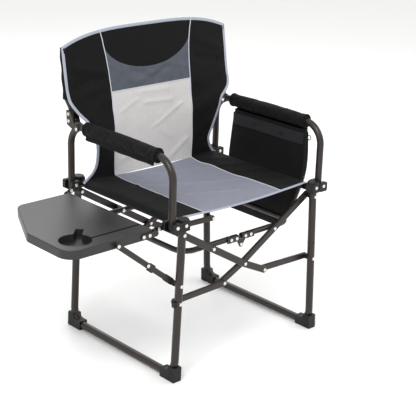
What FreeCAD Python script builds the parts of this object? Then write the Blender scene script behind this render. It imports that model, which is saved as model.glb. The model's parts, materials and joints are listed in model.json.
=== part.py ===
import FreeCAD, Part
import math
import os

from FreeCAD import Vector

# Folding director's chair, millimetres. +Z up, the sitter faces -Y, the side table is on -X.
# Shapes are drawn about the chair's own centre line on the floor, then moved to the row's origin.

# ---- driving sizes: leg frames ----
hub_spacing = 500.0          # left hub centre to right hub centre
leg_spacing = 456.0          # front leg centre to rear leg centre
frame_height = 467.0         # floor to the top of a hub cap
leg_splay = 20.0             # how far each foot stands outside its hub
leg_diameter = 22.0
tube_wall = 1.2
foot_bend = 45.0             # centre-line radius of the leg frame's lower corners
floor_bar_gap = 2.5          # air under the floor bar
foot_wall = 2.5              # plastic around the tube at a foot corner
foot_reach = 42.0            # how far a foot corner runs up the leg
foot_run = 58.0              # how far it runs along the floor
foot_bow_gap = 4.0           # boot's top to its hollow inner curve

# ---- hubs, seat rails, rivets ----
hub_width = 31.0
hub_depth = 29.0
hub_body_height = 27.0
cap_radius = 16.5
cap_height = 5.0
rail_diameter = 18.0
rail_drop = 20.0             # seat rail's centre below the hub caps
clevis_length = 46.0
clevis_width = 31.0
clevis_height = 27.0
rivet_radius = 3.0
small_rivet_radius = 2.5
rivet_head_radius = 5.2
rivet_head_height = 1.8
pin_play = 0.06              # running clearance on the radius of each pivot pin
slip = 0.5                   # side clearance between stacked moving bars
drill_reach = 400.0
side_drill = 30.0

# ---- scissor arms and lower links ----
arm_pivot_drop = 45.0        # upper pivot on each leg, below the hub caps
link_pivot_height = 227.0    # lower link's pivot on each leg
crossing_height = 270.0
arm_end_height = 232.0
fold_angle = 47.0            # how far a scissor arm turns as the chair closes
bar_width = 20.0
bar_depth = 9.5
bar_wall = 1.2
bar_edge_wall = 3.5          # wall at the bar's rounded edges
bar_rounding = 3.2
solid_end = 36.0             # length left solid round each pivot
link_width = 18.0

# ---- centre brace ----
brace_pivot_share = 0.51     # place of the brace pivot on the upper part of an arm
brace_diameter = 16.0
brace_inset = 42.0           # brace's outer run inside its hub
brace_bend = 42.0
brace_pin_drop = 21.0        # centre pin below the brace pivots
brace_end_gap = 8.0          # tube end to the chair's centre line
plate_thickness = 1.7
plate_length = 46.0
plate_height = 17.0

# ---- armrests ----
arm_offset = 30.0            # arm tube outside its hub
arm_foot_y = 220.0           # chair centre to the arm tube's front and rear stands
arm_rise = 160.0             # centre of the arm's top run above the hub caps
arm_diameter = 20.0
arm_bend = 60.0
arm_foot_drop = 27.0         # arm tube's foot below the hub caps
arm_pin_rise = 10.0          # rivet through the arm's foot, above the foot
pad_front = 163.0
pad_rear = 147.0
pad_width = 37.0
pad_height = 42.0

# ---- back ----
back_pivot_y = 178.0
back_pivot_drop = 5.0        # back's pivot below the arm's centre
back_fold_angle = 82.0
post_diameter = 16.0
post_offset = 15.0           # post outside the arm tube at shoulder height
post_foot_y = 214.0
post_foot_rise = 4.0         # post's lower end above the arm's centre, and its bends likewise
post_elbow_y = 215.0
post_elbow_rise = 41.0
post_shoulder_y = 219.0
post_shoulder_rise = 77.0
post_top_y = 232.0
post_top_rise = 211.0
bracket_thickness = 2.0
bracket_slip = 0.4           # side clearance between a bracket's cheek and the arm tube
back_over_post = 46.0        # back's upper edge above the posts, at the middle
back_corner_drop = 38.0      # corners of the upper edge below its middle
back_margin = 10.0           # back's edge outside the posts
back_waist_inset = 33.0      # narrowest part of the back inside the hubs
sling_thickness = 3.0
crown_steps = 8
crown_power = 3.5            # how flat the middle of the upper edge is
sling_top_y = 234.0
sling_pivot_y = 183.0
sling_seat_y = 186.0

# ---- seat ----
seat_front = 207.0
seat_sag = 9.0

# ---- side table ----
table_drop = 19.0            # table's upper face below the hub caps
table_gap = 50.0             # arm tube's centre to the table's near edge
table_width = 270.0
table_front = 203.0
table_rear = 163.0
table_skirt = 24.0
table_thickness = 3.0
table_corner = 7.0
table_wide_corner = 34.0
table_rim = 2.5              # rounding of the upper edge
table_cup_corner = 42.0
table_chamfer = 95.0         # cut corner's reach along the rear edge
table_chamfer_y = 25.0       # where the outer edge turns into the cut corner, towards the front
cup_inset = 66.0             # cup's centre inside the table's outer edge
cup_y = 142.0
cup_radius = 43.0
cup_depth = 20.0
notch_width = 22.0
notch_reach = 80.0
groove_y = 153.5
groove_width = 7.0
groove_depth = 5.0
table_hinge_offset = 24.0    # hinge outside the arm tube's centre
table_hinge_drop = 7.0       # hinge below the table's upper face
table_fold_angle = 90.0
table_bracket_thickness = 3.0
table_bracket_width = 15.0
lug_width = 13.0
lug_thickness = 5.0

# ---- table strut ----
strut_leg_drop = 170.0       # strut's pivot on the leg below the table's upper face
strut_table_reach = 122.0    # strut's pivot on the table from the table's near edge
strut_table_drop = 15.0      # strut's pivot on the table below its upper face
strut_thickness = 4.0
strut_width = 15.0
strut_inset = 8.0            # front leg's inner face to the lower half's middle plane
clip_length = 20.0
clip_travel = 18.0

# ---- storage pouch ----
pouch_thickness = 32.0
pouch_front = 160.0
pouch_rear = 152.0
pouch_drop = 355.0           # pouch's lower edge below the arm's centre
pouch_wall = 2.0
pouch_gap = 2.0              # air between the pad and the pouch's upper edge
pouch_mouth = 20.0           # how far the inner panel stops below the outer one

# ---- worked out from the sizes above ----
hub_x = hub_spacing / 2
leg_y = leg_spacing / 2
leg_r = leg_diameter / 2
arm_x = hub_x + arm_offset
rail_height = frame_height - rail_drop
arm_pivot_height = frame_height - arm_pivot_drop
arm_height = frame_height + arm_rise
arm_foot_height = frame_height - arm_foot_drop
brace_reach = hub_x - brace_inset
back_pivot_height = arm_height - back_pivot_drop
post_foot = (post_foot_y, arm_height + post_foot_rise)
post_elbow = (post_elbow_y, arm_height + post_elbow_rise)
post_shoulder = (post_shoulder_y, arm_height + post_shoulder_rise)
post_top = (post_top_y, arm_height + post_top_rise)
post_spread = arm_x + post_offset
back_top = post_top[1] + back_over_post
back_corner_height = back_top - back_corner_drop
back_half_width = post_spread + back_margin
back_waist = hub_x - back_waist_inset
table_top_height = frame_height - table_drop
table_inner = arm_x + table_gap
table_outer = table_inner + table_width
table_chamfer_x = table_outer - table_chamfer
cup_x = table_outer - cup_inset
table_hinge_x = arm_x + table_hinge_offset
table_hinge_height = table_top_height - table_hinge_drop
strut_leg_height = table_top_height - strut_leg_drop
strut_table_x = table_inner + strut_table_reach
strut_table_height = table_top_height - strut_table_drop
pouch_bottom = arm_height - pouch_drop
arm_r = arm_diameter / 2
floor_bar_z = leg_r + floor_bar_gap
splay_angle = math.degrees(math.atan2(leg_splay, frame_height))
layer_pitch = bar_depth + slip
layer_one = leg_y - leg_r - slip - bar_depth / 2
layer_two = layer_one - layer_pitch
plate_stack = 2 * plate_thickness + slip
brace_y = layer_two - bar_depth / 2 - slip - plate_stack - brace_diameter / 2
pouch_inner = arm_x - 12.0
pouch_outer = pouch_inner + pouch_thickness
centre_x = (max(pouch_outer, back_half_width) - table_outer) / 2


def leg_x(height):
    """Distance of a leg's centre from the chair's centre at a height."""
    return hub_x + leg_splay * (frame_height - height) / frame_height


arm_pivot_x = leg_x(arm_pivot_height)
link_pivot_x = leg_x(link_pivot_height)


def turn(point, centre, angle):
    """Turns an (x, z) point about another one, clockwise as seen from the front."""
    a = math.radians(angle)
    dx = point[0] - centre[0]
    dz = point[1] - centre[1]
    return (centre[0] + dx * math.cos(a) + dz * math.sin(a),
            centre[1] - dx * math.sin(a) + dz * math.cos(a))


def toward(start, end, distance):
    """Point at a distance from one (x, z) point towards another."""
    length = math.dist(start, end)
    return (start[0] + (end[0] - start[0]) * distance / length,
            start[1] + (end[1] - start[1]) * distance / length)


def closing_arm_end():
    """X of the arm's lower end that lets the link close both open and folded.

    The link's length is the same in both states, which is linear in the end's place.
    """
    pivot = (-arm_pivot_x, arm_pivot_height)
    start = math.degrees(math.atan2(arm_pivot_height - crossing_height, arm_pivot_x))
    reach = math.hypot(arm_pivot_x, arm_pivot_height - crossing_height)
    half = reach * math.cos(math.radians(start + fold_angle))
    travel = 2 * arm_pivot_x - 2 * half
    link_open = (link_pivot_x, link_pivot_height)
    link_shut = (link_pivot_x - travel, link_pivot_height)
    low, high = 0.0, link_pivot_x - bar_width

    def gap(x):
        end = (x, arm_end_height)
        shut = turn(end, pivot, fold_angle)
        return math.dist(end, link_open) - math.dist(shut, link_shut)

    for _ in range(60):
        middle = (low + high) / 2
        if gap(middle) > 0:
            low = middle
        else:
            high = middle
    return (low + high) / 2, travel


arm_end_x, fold_travel = closing_arm_end()
brace_pivot = (-arm_pivot_x * (1 - brace_pivot_share),
               arm_pivot_height + (crossing_height - arm_pivot_height) * brace_pivot_share)
brace_pin = (0.0, brace_pivot[1] - brace_pin_drop)
strut_leg = (-leg_x(strut_leg_height), strut_leg_height)
strut_table = (-strut_table_x, strut_table_height)
strut_knee = ((strut_leg[0] + strut_table[0]) / 2, (strut_leg[1] + strut_table[1]) / 2)
strut_lower_y = leg_y - leg_r - strut_inset
strut_upper_y = strut_lower_y + strut_thickness + slip


# ---- helpers ----
def rounded_path(points, radius):
    """A wire through the points with each corner rounded by a tangent arc."""
    edges = []
    start = Vector(*points[0])
    for i in range(1, len(points) - 1):
        corner = Vector(*points[i])
        back = (Vector(*points[i - 1]) - corner).normalize()
        ahead = (Vector(*points[i + 1]) - corner).normalize()
        half = back.getAngle(ahead) / 2
        reach = radius / math.tan(half)
        first = corner + back * reach
        last = corner + ahead * reach
        middle_line = (back + ahead).normalize()
        middle = corner + middle_line * (radius / math.sin(half) - radius)
        edges.append(Part.makeLine(start, first))
        edges.append(Part.Arc(first, middle, last).toShape())
        start = last
    edges.append(Part.makeLine(start, Vector(*points[-1])))
    return Part.Wire(edges)


def sweep(path, radius):
    """A round bar of a radius along a wire."""
    first = path.Edges[0]
    start = first.valueAt(first.FirstParameter)
    along = first.tangentAt(first.FirstParameter)
    ring = Part.Wire([Part.makeCircle(radius, start, along)])
    shell = path.makePipeShell([ring], True, False)
    return shell


def tube(path, radius, wall):
    """A round tube along a wire."""
    return sweep(path, radius).cut(sweep(path, radius - wall))


def cylinder(point, axis, radius, length):
    return Part.makeCylinder(radius, length, Vector(*point), Vector(*axis))


def box(x0, y0, z0, x1, y1, z1):
    return Part.makeBox(x1 - x0, y1 - y0, z1 - z0, Vector(x0, y0, z0))


def join(shapes):
    """One solid from touching or overlapping ones."""
    whole = shapes[0]
    for shape in shapes[1:]:
        whole = whole.fuse(shape)
    return whole.removeSplitter()


def mirror_x(shape):
    return shape.mirror(Vector(0, 0, 0), Vector(1, 0, 0))


def mirror_y(shape):
    return shape.mirror(Vector(0, 0, 0), Vector(0, 1, 0))


def capsule(a, b, width, y0, y1):
    """A flat bar with round ends between two (x, z) points, from y0 to y1."""
    ax, az = a
    bx, bz = b
    length = math.dist(a, b)
    ux, uz = (bx - ax) / length, (bz - az) / length
    half = width / 2
    p1 = Vector(ax - uz * half, y0, az + ux * half)
    p2 = Vector(bx - uz * half, y0, bz + ux * half)
    p3 = Vector(bx + uz * half, y0, bz - ux * half)
    p4 = Vector(ax + uz * half, y0, az - ux * half)
    tip_b = Vector(bx + ux * half, y0, bz + uz * half)
    tip_a = Vector(ax - ux * half, y0, az - uz * half)
    wire = Part.Wire([Part.makeLine(p1, p2), Part.Arc(p2, tip_b, p3).toShape(),
                      Part.makeLine(p3, p4), Part.Arc(p4, tip_a, p1).toShape()])
    return Part.Face(wire).extrude(Vector(0, y1 - y0, 0))


def plate(points, axis, low, high):
    """A flat plate from a closed outline of 2-D points, thick along X or Y."""
    if axis == "y":
        corners = [Vector(p[0], low, p[1]) for p in points]
        depth = Vector(0, high - low, 0)
    else:
        corners = [Vector(low, p[0], p[1]) for p in points]
        depth = Vector(high - low, 0, 0)
    return Part.Face(Part.makePolygon(corners + [corners[0]])).extrude(depth)


def rivet_y(x, z, y_front, y_back, heads=(True, True), radius=rivet_radius):
    """A rivet along Y whose heads stand outside y_front and y_back, y_front being lower."""
    parts = [cylinder((x, y_front, z), (0, 1, 0), radius, y_back - y_front)]
    if heads[0]:
        parts.append(rivet_head(Vector(x, y_front, z), Vector(0, -1, 0)))
    if heads[1]:
        parts.append(rivet_head(Vector(x, y_back, z), Vector(0, 1, 0)))
    return join(parts) if len(parts) > 1 else parts[0]


def rivet_head(base, out):
    """A low domed head standing on base."""
    head = Part.makeCylinder(rivet_head_radius, rivet_head_height, base, out)
    rim = [e for e in head.Edges if abs((e.BoundBox.Center - (base + out * rivet_head_height)) * out) < 0.01
           and e.Length > rivet_head_radius * 6]
    return head.makeFillet(rivet_head_height * 0.7, rim)


def rivet_x(y, z, x_low, x_high):
    """A rivet along X with a head at each end."""
    parts = [cylinder((x_low, y, z), (1, 0, 0), rivet_radius, x_high - x_low),
             rivet_head(Vector(x_low, y, z), Vector(-1, 0, 0)),
             rivet_head(Vector(x_high, y, z), Vector(1, 0, 0))]
    return join(parts)


def drill_y(shape, x, z, radius=rivet_radius):
    return shape.cut(cylinder((x, -drill_reach, z), (0, 1, 0), radius, 2 * drill_reach))


def both_ends(shape):
    """A front piece and its mirror at the rear."""
    return [shape, mirror_y(shape)]


# ---- leg frames ----
def leg_frame_path():
    top = frame_height - cap_height - 2.0
    return rounded_path([(-leg_x(top), -leg_y, top), (-leg_x(floor_bar_z), -leg_y, floor_bar_z),
                         (-leg_x(floor_bar_z), leg_y, floor_bar_z), (-leg_x(top), leg_y, top)], foot_bend)


def leg_frame():
    """U-shaped tube: front leg, floor bar, rear leg."""
    frame = tube(leg_frame_path(), leg_r, tube_wall)
    for height in (arm_pivot_height, link_pivot_height, strut_leg_height):
        frame = drill_y(frame, -leg_x(height), height)
    return frame


def foot_corner():
    """Moulded boot that squares off a lower corner of the leg frame."""
    outer_y = -leg_y - leg_r - foot_wall
    inner_y = outer_y + leg_diameter + 2 * foot_wall
    top = foot_reach
    far = outer_y + foot_run
    bar_top = floor_bar_z + leg_r + foot_wall
    bow = top - bar_top - foot_bow_gap
    points = [Vector(0, outer_y, -4), Vector(0, outer_y, top), Vector(0, inner_y, top),
              Vector(0, inner_y, bar_top + bow), Vector(0, inner_y + bow, bar_top),
              Vector(0, far, bar_top), Vector(0, far, -4)]
    edges = [Part.makeLine(points[i], points[i + 1]) for i in (0, 1, 2)]
    swing = Vector(0, inner_y + bow * (1 - math.sqrt(0.5)), bar_top + bow * (1 - math.sqrt(0.5)))
    edges.append(Part.Arc(points[3], swing, points[4]).toShape())
    edges += [Part.makeLine(points[i], points[i + 1]) for i in (4, 5)]
    edges.append(Part.makeLine(points[6], points[0]))
    half = leg_r + foot_wall
    boot = Part.Face(Part.Wire(edges)).extrude(Vector(2 * half, 0, 0))
    boot.translate(Vector(-half, 0, 0))
    ribs = []
    for i in range(4):
        z = top - 6.0 - 9.0 * i
        ribs.append(box(-half - 0.9, outer_y, z - 3.0, half + 0.9, inner_y, z))
    boot = join([boot] + ribs)
    boot.rotate(Vector(0, 0, floor_bar_z), Vector(0, 1, 0), splay_angle)
    boot.translate(Vector(-leg_x(floor_bar_z), 0, 0))
    boot = boot.cut(box(-400, -400, -60, 0, 400, 0))
    return boot.cut(sweep(leg_frame_path(), leg_r))


def hub():
    """Moulded hub on a front leg top, with its round cap and the arm's clevis."""
    top = frame_height - cap_height
    low = top - hub_body_height
    body = box(-hub_x - hub_width / 2, -leg_y - hub_depth / 2, low,
               -hub_x + hub_width / 2, -leg_y + hub_depth / 2, top)
    body = body.makeFillet(4.0, [e for e in body.Edges if e.BoundBox.ZLength > hub_body_height / 2])
    cap = cylinder((-hub_x, -leg_y, top), (0, 0, 1), cap_radius, cap_height)
    cap = cap.makeFillet(2.0, [e for e in cap.Edges if e.BoundBox.ZMin > frame_height - 0.01])
    boss_r = rail_diameter / 2 + 3.0
    boss = cylinder((-hub_x, -leg_y + hub_depth / 2 - 4, rail_height), (0, 1, 0), boss_r, 8.0)
    clevis_y = -arm_foot_y
    ears = box(-arm_x - clevis_width / 2, clevis_y - clevis_length / 2, arm_foot_height - 6.0,
               -arm_x + clevis_width / 2, clevis_y + clevis_length / 2,
               arm_foot_height - 6.0 + clevis_height)
    ears = ears.makeFillet(5.0, [e for e in ears.Edges if e.BoundBox.YLength > clevis_length / 2])
    whole = join([body, cap, boss, ears])
    slot = arm_r + slip
    whole = whole.cut(box(-arm_x - clevis_width, clevis_y - slot, arm_foot_height - 1.0,
                          -arm_x + arm_r + slip, clevis_y + slot, frame_height))
    whole = whole.cut(sweep(leg_frame_path(), leg_r))
    whole = whole.cut(cylinder((-hub_x, -leg_y, rail_height), (0, 1, 0), rail_diameter / 2, leg_spacing))
    whole = drill_y(whole, -arm_x, arm_foot_height + arm_pin_rise)
    whole = whole.cut(cylinder((-hub_x, -leg_y - hub_depth, rail_height + 3.0), (0, 1, 0),
                               rivet_radius, hub_depth - leg_r + 2.0))
    return whole


def table_ear():
    """Lug on the hub's clevis that carries the table's hinge pin."""
    y0 = -arm_foot_y + clevis_length / 2
    lug = capsule((-table_hinge_x, table_hinge_height), (-arm_x - 12.0, table_hinge_height), lug_width,
                  y0, y0 + lug_thickness)
    return drill_y(lug, -table_hinge_x, table_hinge_height)


def seat_rail():
    """Tube that carries the seat's side hem."""
    inner = leg_y - leg_r
    start, end = Vector(-hub_x, -inner, rail_height), Vector(-hub_x, inner, rail_height)
    return tube(Part.Wire([Part.makeLine(start, end)]), rail_diameter / 2, tube_wall)


# ---- scissor arms ----
def cross_arm(layer_y):
    """Flat oval tube from the left hub over the crossing to its lower end, bent at the crossing."""
    pivot = (-arm_pivot_x, arm_pivot_height)
    crossing = (0.0, crossing_height)
    end = (arm_end_x, arm_end_height)
    y0, y1 = -layer_y - bar_depth / 2, -layer_y + bar_depth / 2
    whole = join([capsule(pivot, crossing, bar_width, y0, y1), capsule(crossing, end, bar_width, y0, y1)])
    long_edges = [e for e in whole.Edges if e.BoundBox.YLength < 0.01]
    whole = whole.makeFillet(bar_rounding, long_edges)
    hollow = capsule(toward(pivot, crossing, solid_end), toward(crossing, pivot, solid_end),
                     bar_width - 2 * bar_edge_wall, y0 + bar_wall, y1 - bar_wall)
    whole = whole.cut(hollow)
    for point in (pivot, crossing, brace_pivot):
        whole = drill_y(whole, point[0], point[1])
    return drill_y(whole, end[0], end[1])


def widen(shape, x, z):
    """Opens a pivot hole to its running clearance."""
    return drill_y(shape, x, z, rivet_radius + pin_play)


def link(layer_y):
    """Short flat bar from a leg to the far arm's lower end, drawn at the right leg."""
    y0, y1 = -layer_y - bar_depth / 2, -layer_y + bar_depth / 2
    bar = capsule((link_pivot_x, link_pivot_height), (arm_end_x, arm_end_height), link_width, y0, y1)
    bar = bar.makeFillet(3.0, [e for e in bar.Edges if e.BoundBox.YLength < 0.01])
    bar = widen(bar, link_pivot_x, link_pivot_height)
    return drill_y(bar, arm_end_x, arm_end_height)


# ---- centre brace ----
def brace_tube():
    """C-shaped tube: front run, outer run, rear run, drawn on the left."""
    z = brace_pivot[1]
    path = rounded_path([(-brace_end_gap, -brace_y, z), (-brace_reach, -brace_y, z),
                         (-brace_reach, brace_y, z), (-brace_end_gap, brace_y, z)], brace_bend)
    shape = tube(path, brace_diameter / 2, tube_wall)
    shape = widen(shape, brace_pivot[0], z)
    for x in plate_rivets():
        shape = drill_y(shape, x, z, small_rivet_radius)
    return shape


def plate_rivets():
    """X of the two rivets that hold a hinge plate to its tube."""
    return (-brace_end_gap - 10.0, -brace_end_gap - plate_length + 15.0)


def hinge_plate(front):
    """Plate on a brace tube's inner end with the ear of the centre pin, drawn on the left."""
    z = brace_pivot[1]
    tube_face = brace_y + brace_diameter / 2
    if front:
        y_out = tube_face + plate_stack
        y_in = tube_face + plate_thickness + slip
    else:
        y_out = tube_face + plate_thickness
        y_in = tube_face
    strap = plate([(-brace_end_gap - plate_length + 2.0, z - plate_height / 2),
                   (-brace_end_gap + 2.0, z - plate_height / 2),
                   (-brace_end_gap + 2.0, z + plate_height / 2),
                   (-brace_end_gap - plate_length + 2.0, z + plate_height / 2)], "y", -y_out, -y_in)
    ear = capsule((-14.0, z), brace_pin, 15.0, -y_out, -y_in)
    parts = [strap, ear]
    if front:
        parts.append(box(-brace_end_gap - plate_length + 2.0, -y_in, z - plate_height / 2,
                         -brace_end_gap - 4.0, -tube_face, z + plate_height / 2))
    whole = join(parts).cut(sweep(brace_line(), brace_diameter / 2))
    radius = rivet_radius if front else rivet_radius + pin_play
    whole = drill_y(whole, brace_pin[0], brace_pin[1], radius)
    for x in plate_rivets():
        whole = drill_y(whole, x, z, small_rivet_radius)
    return whole


def brace_line():
    z = brace_pivot[1]
    return Part.Wire([Part.makeLine(Vector(-brace_reach, -brace_y, z), Vector(0, -brace_y, z))])


def brace_rivets(front):
    """Two rivets of one hinge plate, drawn on the left."""
    z = brace_pivot[1]
    out = brace_y + brace_diameter / 2 + (plate_stack if front else plate_thickness)
    back = brace_y - brace_diameter / 2
    return [rivet_y(x, z, -out, -back, radius=small_rivet_radius) for x in plate_rivets()]


# ---- armrests ----
def arm_path():
    return rounded_path([(-arm_x, -arm_foot_y, arm_foot_height), (-arm_x, -arm_foot_y, arm_height),
                         (-arm_x, arm_foot_y, arm_height), (-arm_x, arm_foot_y, arm_foot_height)], arm_bend)


def arm_tube():
    """Upside-down U tube of one armrest."""
    shape = tube(arm_path(), arm_r, tube_wall)
    shape = drill_y(shape, -arm_x, arm_foot_height + arm_pin_rise)
    return shape.cut(cylinder((-arm_x - side_drill, back_pivot_y, back_pivot_height), (1, 0, 0),
                              rivet_radius, 2 * side_drill))


def arm_pad():
    """Foam pad wrapped round the arm's top run."""
    pad = box(-arm_x - pad_width / 2, -pad_front, arm_height - pad_height / 2,
              -arm_x + pad_width / 2, pad_rear, arm_height + pad_height / 2)
    pad = pad.makeFillet(13.0, [e for e in pad.Edges if e.BoundBox.YLength > pad_front])
    return pad.cut(sweep(arm_path(), arm_r))


# ---- back posts ----
def post_path():
    return rounded_path([(-arm_x, post_foot[0], post_foot[1]), (-arm_x, post_elbow[0], post_elbow[1]),
                         (-post_spread, post_shoulder[0], post_shoulder[1]),
                         (-post_spread, post_top[0], post_top[1])], 22.0)


def back_post():
    """Tube of the back, from its bracket up into the sling's side sleeve."""
    shape = tube(post_path(), post_diameter / 2, tube_wall)
    for y, z in bracket_rivets():
        shape = shape.cut(cylinder((-arm_x - side_drill, y, z), (1, 0, 0), rivet_radius, 2 * side_drill))
    return shape


def bracket_rivets():
    """Y and Z of the rivets that hold the post in its bracket."""
    return ((post_foot[0], post_foot[1] + 7.0), (post_elbow[0] - 0.5, post_foot[1] + 27.0))


def back_bracket():
    """Channel that straddles the arm tube and holds the post's foot."""
    outline = [(back_pivot_y - 9.0, back_pivot_height - 7.0),
               (back_pivot_y + 4.0, back_pivot_height - 10.0), (post_foot[0] + 9.0, post_foot[1] - 4.0),
               (post_foot[0] + 11.5, post_elbow[1]), (post_foot[0] - 9.0, post_elbow[1]),
               (back_pivot_y + 14.0, back_pivot_height + 14.0), (back_pivot_y - 7.0, back_pivot_height + 9.0)]
    gap = arm_r + bracket_slip
    cheeks = []
    for low in (-arm_x - gap - bracket_thickness, -arm_x + gap):
        cheeks.append(plate(outline, "x", low, low + bracket_thickness))
    web_y = post_elbow[0] + post_diameter / 2 + 0.3
    web = box(-arm_x - gap, web_y, post_foot[1],
              -arm_x + gap, web_y + bracket_thickness, post_elbow[1] - 1.0)
    whole = join(cheeks + [web])
    whole = whole.cut(cylinder((-arm_x - side_drill, back_pivot_y, back_pivot_height), (1, 0, 0),
                               rivet_radius + pin_play, 2 * side_drill))
    for y, z in bracket_rivets():
        whole = whole.cut(cylinder((-arm_x - side_drill, y, z), (1, 0, 0), rivet_radius, 2 * side_drill))
    return whole


# ---- sling ----
def seat_sling():
    """Seat cloth hung between the two seat rails."""
    rail_r = rail_diameter / 2
    edge = hub_x + rail_r + 0.8
    top = rail_height + rail_r + 0.8
    inner = [(-edge, rail_height - 3), (-edge, rail_height + 4), (-hub_x - 3, top), (-hub_x + 14, top)]
    middle = [(-hub_x * 0.5, top - seat_sag * 0.75), (0, top - seat_sag)]
    half = inner + middle
    lower = half + [(-x, z) for x, z in reversed(half[:-1])]
    t = sling_thickness
    outer = [(-edge - t, rail_height - 3), (-edge - t, rail_height + 5.5), (-hub_x - 4, top + t),
             (-hub_x + 14, top + t), (-hub_x * 0.5, top - seat_sag * 0.75 + t), (0, top - seat_sag + t)]
    upper = outer + [(-x, z) for x, z in reversed(outer[:-1])]
    return plate(lower + list(reversed(upper)), "y", -seat_front, sling_seat_y - 3.0)


def back_outline(z):
    """Half width of the back cloth at a height: hip, waist, past the bracket, then the shoulder."""
    beside_bracket = arm_x - arm_r - bracket_slip - bracket_thickness - rivet_head_height - 2.0
    stations = [(rail_height + 16.0, back_waist + 14.0), (rail_height + 53.0, back_waist),
                (rail_height + 113.0, back_waist + 13.0), (back_pivot_height, beside_bracket - 13.0),
                (post_elbow[1] + 4.0, beside_bracket), (post_shoulder[1], back_half_width),
                (back_top, back_half_width)]
    for (z0, w0), (z1, w1) in zip(stations, stations[1:]):
        if z <= z1:
            return w0 + (w1 - w0) * (z - z0) / (z1 - z0)
    return back_half_width


def lean(outline, low, high):
    """A cloth panel from an (x, z) outline, leaned to run between two (y, z) places."""
    run, rise = high[0] - low[0], high[1] - low[1]
    stretch = math.hypot(run, rise) / rise
    flat = [(x, low[1] + (z - low[1]) * stretch) for x, z in outline]
    panel = plate(flat, "y", -sling_thickness / 2, sling_thickness / 2)
    panel.rotate(Vector(0, 0, low[1]), Vector(1, 0, 0), -math.degrees(math.atan2(run, rise)))
    panel.translate(Vector(0, low[0], 0))
    return panel


def back_sling_lower():
    """Back cloth from the seat up to the height of the back's pivot."""
    low = rail_height + 16.0
    high = back_pivot_height - 1.0
    heights = [low, rail_height + 53.0, rail_height + 113.0, high]
    side = [(-back_outline(z), z) for z in heights]
    outline = side + [(-x, z) for x, z in reversed(side)]
    return lean(outline, (sling_seat_y, low), (sling_pivot_y, high))


def back_sling_upper():
    """Back cloth above the pivot, with its crowned upper edge and a hollow sleeve for each post."""
    low = back_pivot_height + 1.0
    heights = [low, post_elbow[1] + 4.0, post_shoulder[1], back_corner_height]
    side = [(-back_outline(z), z) for z in heights]
    crown = []
    for i in range(1, crown_steps + 1):
        x = back_half_width * (1 - i / crown_steps)
        drop = (back_top - back_corner_height) * (x / back_half_width) ** crown_power
        crown.append((-x, back_top - drop))
    left = side + crown
    outline = left + [(-x, z) for x, z in reversed(left[:-1])]
    panel = lean(outline, (sling_pivot_y, low), (sling_top_y, back_top))
    room = sweep(post_path(), post_diameter / 2 + slip)
    return panel.cut(room).cut(mirror_x(room))


# ---- side table ----
def table_outline(z):
    """Closed outline of the table as a face at height z."""
    corners = [(-table_inner, -table_front), (-table_inner, table_rear), (-table_chamfer_x, table_rear),
               (-table_outer, -table_chamfer_y), (-table_outer, -table_front)]
    radii = [table_corner, table_corner, table_wide_corner, table_wide_corner, table_cup_corner]
    arcs = []
    ends = []
    for i, corner in enumerate(corners):
        here = Vector(corner[0], corner[1], z)
        back = (Vector(*corners[i - 1], z) - here).normalize()
        ahead = (Vector(*corners[(i + 1) % 5], z) - here).normalize()
        half = back.getAngle(ahead) / 2
        reach = radii[i] / math.tan(half)
        middle = here + (back + ahead).normalize() * (radii[i] / math.sin(half) - radii[i])
        arcs.append(Part.Arc(here + back * reach, middle, here + ahead * reach).toShape())
        ends.append((here + back * reach, here + ahead * reach))
    wire = []
    for i in range(5):
        wire.append(arcs[i])
        wire.append(Part.makeLine(ends[i][1], ends[(i + 1) % 5][0]))
    return Part.Face(Part.Wire(wire))


def table_top():
    """Moulded tray: top sheet, skirt, cup well with its notch, and a groove."""
    skirt_bottom = table_top_height - table_skirt
    block = table_outline(skirt_bottom).extrude(Vector(0, 0, table_skirt))
    rim = [e for e in block.Edges if e.BoundBox.ZMin > table_top_height - 0.01]
    block = block.makeFillet(table_rim, rim)
    core = table_outline(skirt_bottom - 1.0).makeOffset2D(-table_thickness)
    core = core.extrude(Vector(0, 0, table_skirt - table_thickness + 1.0))
    wall = table_thickness
    well = cylinder((-cup_x, -cup_y, skirt_bottom + 1.0), (0, 0, 1), cup_radius + wall, cup_depth + 10)
    notch_outer = notch(wall, skirt_bottom + 1.0, table_top_height - 1.0)
    groove_wall = box(-cup_x, -groove_y - groove_width / 2 - wall, table_top_height - groove_depth - wall,
                      -table_inner - 1.0, -groove_y + groove_width / 2 + wall, table_top_height - 1.0)
    core = core.cut(well).cut(notch_outer).cut(groove_wall)
    block = block.cut(core)
    block = block.cut(cylinder((-cup_x, -cup_y, table_top_height - cup_depth), (0, 0, 1), cup_radius, 60))
    block = block.cut(notch(0.0, table_top_height - cup_depth, table_top_height + 10.0))
    block = block.cut(box(-cup_x, -groove_y - groove_width / 2, table_top_height - groove_depth,
                          -table_inner - 4.0, -groove_y + groove_width / 2, table_top_height + 10))
    for x in table_rivets():
        block = drill_y(block, x, skirt_middle())
    return block


def notch(grow, low, high):
    """Slot that runs from the cup well towards the seat and the rear, for a stem or a handle."""
    half = notch_width / 2 + grow
    arm = box(0, -half, low, notch_reach + grow, half, high)
    arm.rotate(Vector(0, 0, 0), Vector(0, 0, 1), 45)
    arm.translate(Vector(-cup_x, -cup_y, 0))
    return arm


def table_rivets():
    """X of the two rivets that hold a bracket to the skirt."""
    return (-table_inner - 13.0, -table_inner - 33.0)


def skirt_middle():
    return table_top_height - table_skirt * 0.58


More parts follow.
